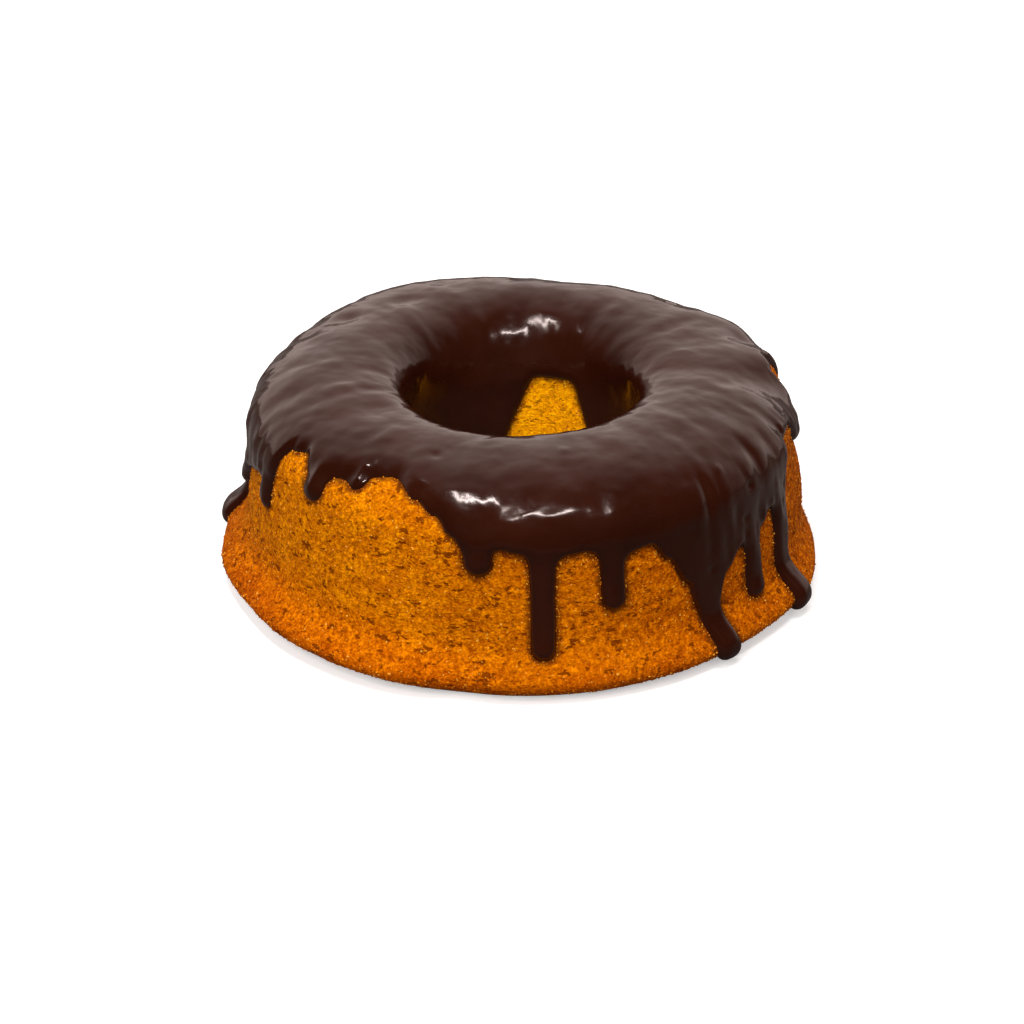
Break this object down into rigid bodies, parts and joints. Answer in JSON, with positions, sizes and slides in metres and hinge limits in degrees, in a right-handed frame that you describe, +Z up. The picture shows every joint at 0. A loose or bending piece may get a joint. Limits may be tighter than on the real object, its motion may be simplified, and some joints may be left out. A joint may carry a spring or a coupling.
{
  "type": "carrot ring cake with chocolate glaze",
  "caption": "Carrot sponge ring cake with a central hole, covered on top with chocolate glaze that runs down its side.",
  "frame": {"origin": "on the surface that the cake stands on, under the middle of its bounding box, which is within 2 mm of the hole's axis", "axes": "+Z up through the hole; -Y is the side that faces the viewer in the picture, +X to its right"},
  "size_m": [0.2198, 0.219, 0.077],
  "materials": {
    "carrot_sponge": "matte open crumb, carrot orange",
    "chocolate_glaze": "satin set chocolate, dark brown"
  },
  "bodies": {
    "root": {"carrot_sponge": "carrot_sponge", "chocolate_glaze": "chocolate_glaze"}
  },
  "joints": []
}
